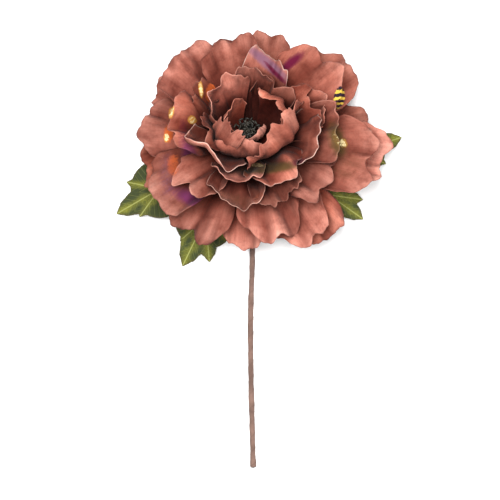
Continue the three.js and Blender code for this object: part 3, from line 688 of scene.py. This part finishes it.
def make_collar(number, radius, foot, cloth):
    """The gathered middle of a layer: its petals' roots pleated round the pin."""
    inner, top = PIN_RADIUS + 0.1, foot + COLLAR_HEIGHT
    profile = [(inner, foot), (0.6 * radius, foot), (radius - 0.9, foot + 0.1), (radius - 0.2, foot + 0.5),
               (radius, foot + 0.9), (radius - 0.2, foot + 1.3), (radius - 0.9, top - 0.1),
               (0.6 * radius, top), (inner, top), (inner, foot)]
    points, faces, around = turned(profile, 96)
    pleat = np.sin(COLLAR_PLEATS * around + number + 2 * np.sin(3 * around))
    outwards = np.hypot(points[:, 0], points[:, 1]) / radius
    points[:, :2] *= (1 + 0.03 * pleat * outwards ** 2)[:, None]
    points[:, 2] += 0.12 * pleat * outwards
    # The collar takes a fixed painted shade, as it sits hidden between the layers.
    mesh_piece(f"petal_collar_{number}", leaned(points), faces, f"petal_layer_{number}", cloth, {
        "place": points, "along": 0.1 + 0.1 * outwards, "fold": 0.5 + 0.4 * pleat, "to_rim": 9, "painted_shade": 0.4,
        "across": pleat, "seed": 7 * number, "tone": 0.5, "rim": 0, "shade": 0.2,
        **dict.fromkeys(TINT_MARKS, 0)})


def make_petals():
    cloth = petal_cloth()
    petals = {}
    for number, layer in enumerate(LAYERS, 1):
        raised = (number - 1) * LAYER_STEP
        make_collar(number, layer["radius"], COLLAR_FOOT + raised, cloth)
        for k, own in enumerate(layer["petals"]):
            petals[f"{number}_{k + 1}"] = {
                **layer, **own, "node": f"petal_layer_{number}", "seed": 100 * number + 10 * k,
                "root": layer["radius"] - ROOT_DEPTH, "height": FIRST_LAYER + raised + ROOT_HEIGHT}
    surfaces = [in_place(petal_points(petal, *petal_grid(petal))) for petal in petals.values()]
    # How much other cloth hides each point, for the painted shade between the petals.
    depth = painted_shade_finder([surface[::2, ::2] for surface in surfaces])
    for number, petal in petals.items():
        make_petal(number, petal, cloth, depth)


make_petals()

# ---------------- calyx
CALYX_RADIUS, CALYX_LENGTH, CALYX_NECK = 8.5, 13.0, 3.0
SOCKET_DEPTH, SOCKET_GAP = 4.5, 0.2
PIN_TOP = FIRST_LAYER + len(LAYERS) * LAYER_STEP
SEPAL_COUNT, SEPAL_FACES = 5, 24


def sepal_outline(sepal, u):
    return 1 - 0.62 * np.abs(u) ** 0.9


SEPALS = dict(length=24, spread=20, rise=(-17, -17, -26), wrap=1.6, ruffle=0.6, roll=0, waves=1, crease=0.5,
              outline=sepal_outline, root=CALYX_RADIUS - 3, height=-1.6)


def moulded_plastic(name, light, dark, edge):
    """Cloudy moulded plastic with a fine grain, in another shade where the edge mark is low."""
    material, n = start_material(name)
    place = n.mark("place")
    fine = n.noise(place, 2.6, 3)
    colour = n.mix(n.fade(n.noise(place, 0.25, 4), (0.35, 0), (0.65, 1)), dark, light)
    colour = n.mix(n.fade(n.mark("edge"), (0, 0.65), (0.25, 0)), colour, edge)
    n.show(n.surface(colour, n.scaled(fine, 0.25, 0.42), {"Normal": n.bump(fine, 0.5, 0.0004)}))
    return material


def make_calyx():
    green = moulded_plastic("calyx_plastic", rgb(122, 132, 62), rgb(72, 88, 38), rgb(52, 58, 28))
    foot, neck, wide, pin = -CALYX_LENGTH, CALYX_NECK, CALYX_RADIUS, PIN_RADIUS
    socket = STEM_RADIUS + SOCKET_GAP
    profile = [(socket, foot + SOCKET_DEPTH), (socket, foot), (neck - 0.3, foot), (neck, foot + 0.3),
               (neck + 0.7, foot + 1.4), (neck + 0.8, foot + 2.2), (neck + 0.5, foot + 2.8),
               (neck + 1, foot + 4.2), (5.2, -7), (6.5, -5), (7.6, -3.5), (8.3, -2.2), (wide, -1.2),
               (wide, -0.2), (8.2, 0), (pin, 0), (pin, PIN_TOP - 0.3), (pin - 0.3, PIN_TOP), (0.05, PIN_TOP)]
    points, faces, around = turned(profile, 70)
    ribbed = (points[:, 2] < -0.3) & (points[:, 2] > foot + 2.5)
    points[:, :2] *= (1 + 0.035 * np.cos(SEPAL_COUNT * around) * ribbed)[:, None]
    edge = np.clip((points[:, 2] - foot) / CALYX_LENGTH, 0, 1)
    mesh_piece("calyx_cup", leaned(points), faces, "calyx", green, {"place": points, "edge": edge})
    faces = grid_faces(SEPAL_FACES, SEPAL_FACES)
    for k in range(SEPAL_COUNT):
        sepal = {**SEPALS, "at": 18 + 360 / SEPAL_COUNT * k, "seed": 900 + k}
        u, t = petal_grid(sepal, SEPAL_FACES, SEPAL_FACES, 1)
        shape = petal_points(sepal, u, t)
        shape[..., 2] += 0.35 * np.exp(-(u / 0.09) ** 2) * (1 - t) ** 0.5  # the rib along its middle
        mesh_piece(f"sepal_{k + 1}", in_place(shape), faces, "calyx", green, {
            "place": np.stack([12 * u * t, 24 * t, 0 * u], -1),
            "edge": 1.6 * (1 - np.abs(u)) * np.minimum(1, 2 - 2 * t)}, SEPAL_CLOTH)


make_calyx()

# ---------------- stamens
STAMEN_COUNT = 46
STAMEN_TURN = 2.39996  # from one stamen to the next, which spreads them evenly
BUTTON_RADIUS, BUTTON_HEIGHT = 4.8, 3.4
FILAMENT_LENGTH, FILAMENT_RADIUS, ANTHER_RADIUS = 5.2, 0.22, 0.42
UP = np.array([0, 0, 1])


def stamen(k, foot):
    """A filament that leans outwards, and the curled anther at its tip."""
    outwards = math.sqrt((k + 0.5) / STAMEN_COUNT)
    around = STAMEN_TURN * k
    side = np.array([math.cos(around), math.sin(around), 0])
    across = np.array([-side[1], side[0], 0])
    start = side * (BUTTON_RADIUS - 0.9) * outwards + UP * (foot + BUTTON_HEIGHT - 0.2)
    reach = FILAMENT_LENGTH * (0.7 + 0.6 * chance(k + 80))
    lean = math.radians(2 + 34 * outwards + 14 * (chance(k + 40) - 0.5))
    sway = 1.1 * (chance(k + 120) - 0.5)
    s = np.linspace(0, 1, 9)[:, None]
    line = start + reach * s * (side * math.sin(lean) + UP * math.cos(lean)) + across * sway * s ** 2
    curl = 1.0 + 0.5 * chance(k + 160)
    s_curl = np.linspace(0, 1, 12)[:, None]
    turning = s_curl * math.radians(250 + 90 * chance(k + 200))
    towards = -side if chance(k + 240) > 0.4 else across
    ring = line[-1] + curl * (towards * (1 - np.cos(turning)) * 0.8 + UP * np.sin(turning) * 0.75)
    ring = ring + across * 0.12 * turning
    return tube(line, FILAMENT_RADIUS - 0.07 * s, 7), tube(ring, ANTHER_RADIUS - 0.12 * s_curl, 7)


def make_stamens():
    dark = moulded_plastic("stamen_plastic", rgb(30, 32, 26), rgb(12, 13, 11), rgb(22, 16, 12))
    tips = moulded_plastic("anther_plastic", rgb(58, 54, 44), rgb(18, 18, 15), rgb(40, 30, 22))
    foot, wide = PIN_TOP + 0.3, BUTTON_RADIUS
    brow = foot + BUTTON_HEIGHT
    profile = [(0.05, foot), (wide - 1.6, foot), (wide - 0.5, foot + 0.8), (wide, foot + 1.9),
               (wide - 0.15, foot + 2.7), (wide - 0.7, brow), (wide - 1.6, brow + 0.6),
               (wide / 2, brow + 0.9), (0.05, brow + 1.2)]
    points, faces, around = turned(profile, 48)
    points[:, :2] *= (1 + 0.05 * np.sin(9 * around + points[:, 2]))[:, None]
    mesh_piece("stamen_button", leaned(points), faces, "stamens", dark, {
        "place": points, "edge": 0.3})
    filaments, anthers = zip(*(stamen(k, foot) for k in range(STAMEN_COUNT)))
    for name, parts, material in (("stamen_filaments", filaments, dark), ("stamen_anthers", anthers, tips)):
        points, faces = gathered(parts)
        mesh_piece(name, leaned(points), faces, "stamens", material, {
            "place": points, "edge": 0.5 + 0.5 * np.sin(points[:, 0] * 3)})


make_stamens()

# ---------------- stem
STEM_RUN = ((-6.4, 30), (-5.1, 14), (-4.4, 2), (-4.6, -13), (-5.2, -29), (-5.5, -47), (-5.2, -76),
            (-4.5, -105), (-3.9, -128.6))
STEM_IN_CALYX = 4.6
STEM_ROUND = 30  # points round it
BEND_RADIUS, BEND_STEPS = 14.0, 6
TAPE_PITCH = 8.5  # of the tape's winding
TAPE_LAP = 0.16  # the step at the tape's edge
STEM_FLARE, FLARE_LENGTH = 0.22, 9  # where the tape ends
AXIS = TILT @ np.array([0, 0, 1.0])
STEM_FOOT = HUB - CALYX_LENGTH * AXIS
BEND_START = STEM_FOOT + AXIS * (STEM_HEIGHT + BEND_RADIUS * (1 - math.sin(LEAN)) - STEM_FOOT[2]) / AXIS[2]
BEND_MIDDLE = np.array([HUB[0], BEND_START[1] - BEND_RADIUS * math.cos(LEAN), STEM_HEIGHT + BEND_RADIUS])


def stem_at_slope(slope):
    return BEND_MIDDLE + BEND_RADIUS * np.array([0, math.sin(slope), -math.cos(slope)])


def stem_in_bend(height):
    return stem_at_slope(math.acos(1 - (height - STEM_HEIGHT) / BEND_RADIUS))


def wound_tape():
    """Crepe tape, each turn lapped over the last: pinkish brown, with a darker line at the turn's edge."""
    material, n = start_material("stem_tape")
    place = n.mark("place")
    angle = n.math("ARCTAN2", n.mark("wind_y"), n.mark("wind_x"))
    part = n.math("FRACT", n.math("ADD", n.math("DIVIDE", angle, 2 * math.pi), 1.0))
    seam = n.fade(part, (0, 1), (0.05, 0.25), (0.2, 0), (0.97, 0), (1, 1))
    crepe = n.noise(place, 1.9, 4, 0.6)
    cloudy = n.noise(place, 0.16, 2)
    colour = n.mix(n.fade(cloudy, (0.35, 0), (0.68, 1)), rgb(92, 68, 58), rgb(120, 92, 80))
    colour = n.mix(n.times(seam, 0.5), colour, rgb(62, 42, 36))
    colour = n.mix(n.fade(crepe, (0.5, 0), (0.75, 0.35)), colour, rgb(138, 112, 100))
    bump = n.bump(n.total((crepe, 0.6), (seam, -0.5)), 0.7, 0.0003)
    n.show(n.surface(colour, n.scaled(crepe, 0.25, 0.7), {"Normal": bump, "Sheen Weight": 0.15}))
    return material


def cut_wire():
    material, n = start_material("cut_wire")
    scratch = n.noise(n.mark("place"), 6, 3)
    colour = n.mix(scratch, rgb(96, 92, 90), rgb(150, 148, 146))
    n.show(n.surface(colour, n.scaled(scratch, 0.2, 0.3), {
        "Metallic": 0.9, "Normal": n.bump(scratch, 0.3, 0.0001)}))
    return material


def make_stem():
    top = HUB + (STEM_IN_CALYX - CALYX_LENGTH) * AXIS
    arc = [stem_at_slope((math.pi / 2 - LEAN) * (1 - k / BEND_STEPS)) for k in range(BEND_STEPS + 1)]
    run = [(x, y, STEM_HEIGHT) for x, y in STEM_RUN]
    line = smooth_line([top, STEM_FOOT, *arc, *run], 0.55)
    distance = np.concatenate([[0], np.cumsum(np.linalg.norm(np.diff(line, axis=0), axis=1))])
    turns = distance[:, None] / TAPE_PITCH - circle(STEM_ROUND)[None, :] / (2 * math.pi)
    lumps = 0.07 * np.sin(distance / 3.1 + 1) + 0.06 * np.sin(distance / 7.7) + 0.04 * np.sin(distance / 1.7)
    lap = TAPE_LAP * (1 - (turns - np.floor(turns))) ** 3
    flare = STEM_FLARE * np.clip((distance - distance[-1] + FLARE_LENGTH) / FLARE_LENGTH, 0, 1) ** 2
    radius = STEM_RADIUS - 0.14 + lumps[:, None] + lap + flare[:, None]
    radius[-2:] *= np.array([[0.97], [0.86]])  # the rounded end
    points, faces = tube(line, radius, STEM_ROUND)
    points[:, 2] = np.maximum(points[:, 2], 0.02)  # flattened where it lies
    wind = 2 * math.pi * turns
    mesh_piece("stem_tape_wound", points, faces, "stem", wound_tape(), {
        "place": points, "wind_x": np.cos(wind), "wind_y": np.sin(wind)})
    ahead = (line[-1] - line[-3]) / np.linalg.norm(line[-1] - line[-3])
    wire = [line[-1] + out * ahead for out in (-3, 0.25, 0.4, 0.45)]
    points, faces = tube(wire, [0.95, 0.95, 0.8, 0.3], 20)
    mesh_piece("stem_wire_end", points, faces, "stem", cut_wire(), {"place": points})


make_stem()

# ---------------- leaves
# fork: where the midribs of a leaf's lobes meet. stalk: height of the stalk's end at the stem.
# lobes: direction in degrees and length of each pointed lobe. back: length towards the stem.
LEAVES = [
    dict(fork=(-59, 35.7, 8), stalk=6.8, lobes=((168, 20), (210, 29.6), (234, 20.5)), back=17),
    dict(fork=(-32, 18.3, 6), stalk=10, lobes=((221, 20), (244, 31.5), (275, 26), (316, 18.5)), back=14),
    dict(fork=(40.6, 32.2, 6.5), stalk=7.5, lobes=((296, 18), (325, 25), (352, 20.5)), back=16),
    dict(fork=(58, 57.7, 8), stalk=10, lobes=((-24, 18), (18.4, 27.2), (41, 18.5)), back=18),
]
LEAF_DROOP, DROOP_REACH = 3.2, 26  # how far a lobe hangs below the fork, and at what distance from it
LEAF_RINGS, LEAF_RAYS = 30, 200
LOBE_WIDTH, BACK_WIDTH = math.radians(27), math.radians(26)
CLEFT = 0.58  # how far out the clefts between the lobes are, as a part of the longest lobe
BACK_EDGE = 7  # from the fork to the clefts beside the stalk
SIDE_VEINS, VEIN_SLANT = 4.2, 1.15  # from one side vein to the next, and how they slant forwards
RIB_REACH = 0.86  # of the moulded ribs under the lobes


def angle_between(a, b):
    return np.abs((a - b + math.pi) % (2 * math.pi) - math.pi)


def leaf_edge(leaf, angle, backwards):
    """From the fork to the leaf's edge in a direction: pointed, toothed lobes and the clefts between them."""
    def lobe(direction, length, width):
        away = angle_between(angle, direction) / width
        teeth = 0.05 * np.abs((2.6 * away) % 1 - 0.5) * (away > 0.3)
        return length * (1 - 0.5 * np.minimum(away, 2) + teeth)

    front = 0.5 - 0.5 * np.cos(np.minimum(angle_between(angle, backwards), math.radians(80)) * 180 / 80)
    web = BACK_EDGE + front * (CLEFT * max(length for _, length in leaf["lobes"]) - BACK_EDGE)
    lobes = [lobe(math.radians(direction), length, LOBE_WIDTH) for direction, length in leaf["lobes"]]
    return np.max([web, lobe(backwards, leaf["back"], BACK_WIDTH), *lobes], axis=0)


def leaf_cloth():
    """Stiff green cloth, yellower inside the lobes, with pale pressed veins."""
    material, n = start_material("leaf_cloth")
    place = n.mark("place")
    off_vein = n.math("ABSOLUTE", n.mark("vein_across"))
    cloudy = n.noise(place, 0.13, 4, 0.6)
    fine = n.noise(place, 1.1, 4, 0.65)
    inside = n.fade(n.total((off_vein, 0.11), (cloudy, 0.9)), (0.42, 1), (0.85, 0))
    colour = n.mix(inside, rgb(46, 54, 15), rgb(112, 112, 28))
    colour = n.mix(n.fade(fine, (0.42, 0), (0.7, 0.6)), colour, rgb(40, 48, 18))
    colour = n.mix(n.fade(n.mark("edge"), (0.93, 0), (1, 0.55)), colour, rgb(84, 70, 40))
    midrib = n.fade(off_vein, (0, 1), (0.2, 0.9), (0.42, 0))
    slanted = n.math("SUBTRACT", n.mark("vein_along"), n.times(off_vein, VEIN_SLANT))
    rows = n.math("FRACT", n.math("DIVIDE", slanted, SIDE_VEINS))
    rows = n.math("ABSOLUTE", n.math("SUBTRACT", rows, 0.5))
    side_veins = n.fade(rows, (0, 1), (0.05, 0.6), (0.1, 0))
    veins = n.math("MAXIMUM", midrib, n.times(side_veins, 0.25))
    colour = n.mix(n.times(veins, 0.8), colour, rgb(146, 148, 84))
    weave = n.group(WEAVE, {"Place": place, "Thread": 0.5})["Height"]
    bump = n.bump(n.total((weave, 0.12), (fine, 0.7), (veins, 0.6)), 0.6, 0.0004)
    n.show(n.surface(colour, n.scaled(fine, 0.3, 0.45), {"Normal": bump, "Specular IOR Level": 0.25}))
    return material


def drooped(distance):
    return -LEAF_DROOP * (distance / DROOP_REACH) ** 2


def make_leaf(number, leaf, cloth, plastic):
    fork = np.array(leaf["fork"], dtype=float)
    stalk_foot = stem_in_bend(leaf["stalk"])
    outwards = (fork - stalk_foot) * [1, 1, 0]
    outwards /= np.linalg.norm(outwards)
    backwards = math.atan2(-outwards[1], -outwards[0])
    directions = [math.radians(direction) for direction, _ in leaf["lobes"]] + [backwards]
    turns = sorted((d - backwards) % (2 * math.pi) for d in directions)
    halfway = [(a + b) / 2 for a, b in zip(turns, turns[1:] + [2 * math.pi])]
    rays = [*circle(LEAF_RAYS), *(h + e for h in halfway for e in (-0.002, 0.002)), *turns]
    angle = backwards + np.unique(np.round(rays, 5))
    own = np.array(directions)[np.argmin([angle_between(angle, d) for d in directions], axis=0)]
    part = np.linspace(0.02, 1, LEAF_RINGS)[:, None]
    distance = leaf_edge(leaf, angle, backwards) * part
    off, forward = np.sin(angle - own) * distance, np.cos(angle - own) * distance
    droop = drooped(distance) * np.where(np.cos(angle - backwards) >= 0, -0.2, 1)
    fold = 0.8 * (1 - np.exp(-np.abs(off) / 4.0)) + 0.12 * np.exp(-(off / 0.35) ** 2)
    slanted = forward - VEIN_SLANT * np.abs(off)
    ripples = 0.16 * np.sin(2 * math.pi * slanted / SIDE_VEINS) * np.clip(np.abs(off) / 2, 0, 1)
    wave = 0.5 * part ** 2 * np.sin(5 * angle + number)
    x, y = distance * np.cos(angle), distance * np.sin(angle)
    blade = np.stack([fork[0] + x, fork[1] + y, fork[2] + droop + fold + ripples + wave], -1)
    points = np.concatenate([blade.reshape(-1, 3), [fork - [0, 0, 0.35]]])
    around, middle = len(angle), len(points) - 1
    faces = ring_faces(LEAF_RINGS, around) + [[i, middle, (i + 1) % around] for i in range(around)]
    flat = np.stack([x, y, 0 * x + 9 * number], -1).reshape(-1, 3)
    mesh_piece(f"leaf_blade_{number}", points, faces, f"leaf_{number}", cloth, {
        "place": [*flat, (0, 0, 9 * number)], "vein_across": np.append(off, 0),
        "vein_along": np.append(forward, 0), "edge": np.append(part + 0 * angle, 0)}, LEAF_CLOTH)
    start = stalk_foot + outwards * (STEM_RADIUS + 0.2)
    bow = (start + fork) / 2 - [0, 0, 0.8]
    stalk = smooth_line([start, bow, fork - [0, 0, 0.9]], 1.2)
    parts = [tube(stalk, np.linspace(0.95, 0.75, len(stalk)), 12)]
    s = np.linspace(0, 1, 14)
    for direction, (_, length) in zip(directions, leaf["lobes"]):
        reach = RIB_REACH * length * s
        rib = np.stack([fork[0] + reach * math.cos(direction), fork[1] + reach * math.sin(direction),
                        fork[2] - 0.75 + drooped(reach)], -1)
        parts.append(tube(rib, 0.62 * (1 - 0.65 * s), 8))
    points, faces = gathered(parts)
    mesh_piece(f"leaf_ribs_{number}", points, faces, f"leaf_{number}", plastic, {
        "place": points, "edge": 0.4})


def make_leaves():
    cloth = leaf_cloth()
    plastic = moulded_plastic("leaf_rib_plastic", rgb(112, 122, 58), rgb(66, 82, 36), rgb(60, 66, 30))
    for number, leaf in enumerate(LEAVES, 1):
        make_leaf(number, leaf, cloth, plastic)


make_leaves()

# ---------------- table, light and camera, in metres
TABLE_REACH = 3
TABLE_WHITE = 0.93
LIGHTS = (("key", (-0.14, 0.18, 1.25), 0.5, 25), ("fill", (0.35, -0.2, 1.2), 0.8, 11))  # place, size, power
LIT = Vector((0, 0.05, 0.03))  # what the lights point at
SKY_LIGHT = 0.15
VIEW_MIDDLE, VIEW_HEIGHT = (-0.0058, -0.0003), 1.48
LENS = 180


def make_table():
    mesh = bpy.data.meshes.new("table")
    corners = [(TABLE_REACH * x, TABLE_REACH * y, 0) for x, y in ((-1, -1), (1, -1), (1, 1), (-1, 1))]
    mesh.from_pydata(corners, [], [range(4)])
    add_object("table", mesh)
    white, n = start_material("table_white")
    n.show(n.surface((*[TABLE_WHITE] * 3, 1), 0.8, {}))
    mesh.materials.append(white)


def make_light():
    for name, place, size, power in LIGHTS:
        lamp = bpy.data.lights.new(name, "AREA")
        lamp.shape, lamp.size, lamp.energy = "DISK", size, power
        light = add_object(name, lamp)
        light.location = place
        light.rotation_euler = (LIT - Vector(place)).to_track_quat("-Z", "Y").to_euler()
    world = bpy.data.worlds.new("studio")
    world.use_nodes = True
    sky = world.node_tree.nodes["Background"].inputs
    sky[0].default_value, sky[1].default_value = (1, 1, 1, 1), SKY_LIGHT
    bpy.context.scene.world = world
    bpy.context.scene.view_settings.view_transform = "Standard"


def make_camera():
    data = bpy.data.cameras.new("camera")
    data.lens = LENS
    camera = add_object("camera", data)
    camera.location = (*VIEW_MIDDLE, VIEW_HEIGHT)
    bpy.context.scene.camera = camera


make_table()
make_light()
make_camera()
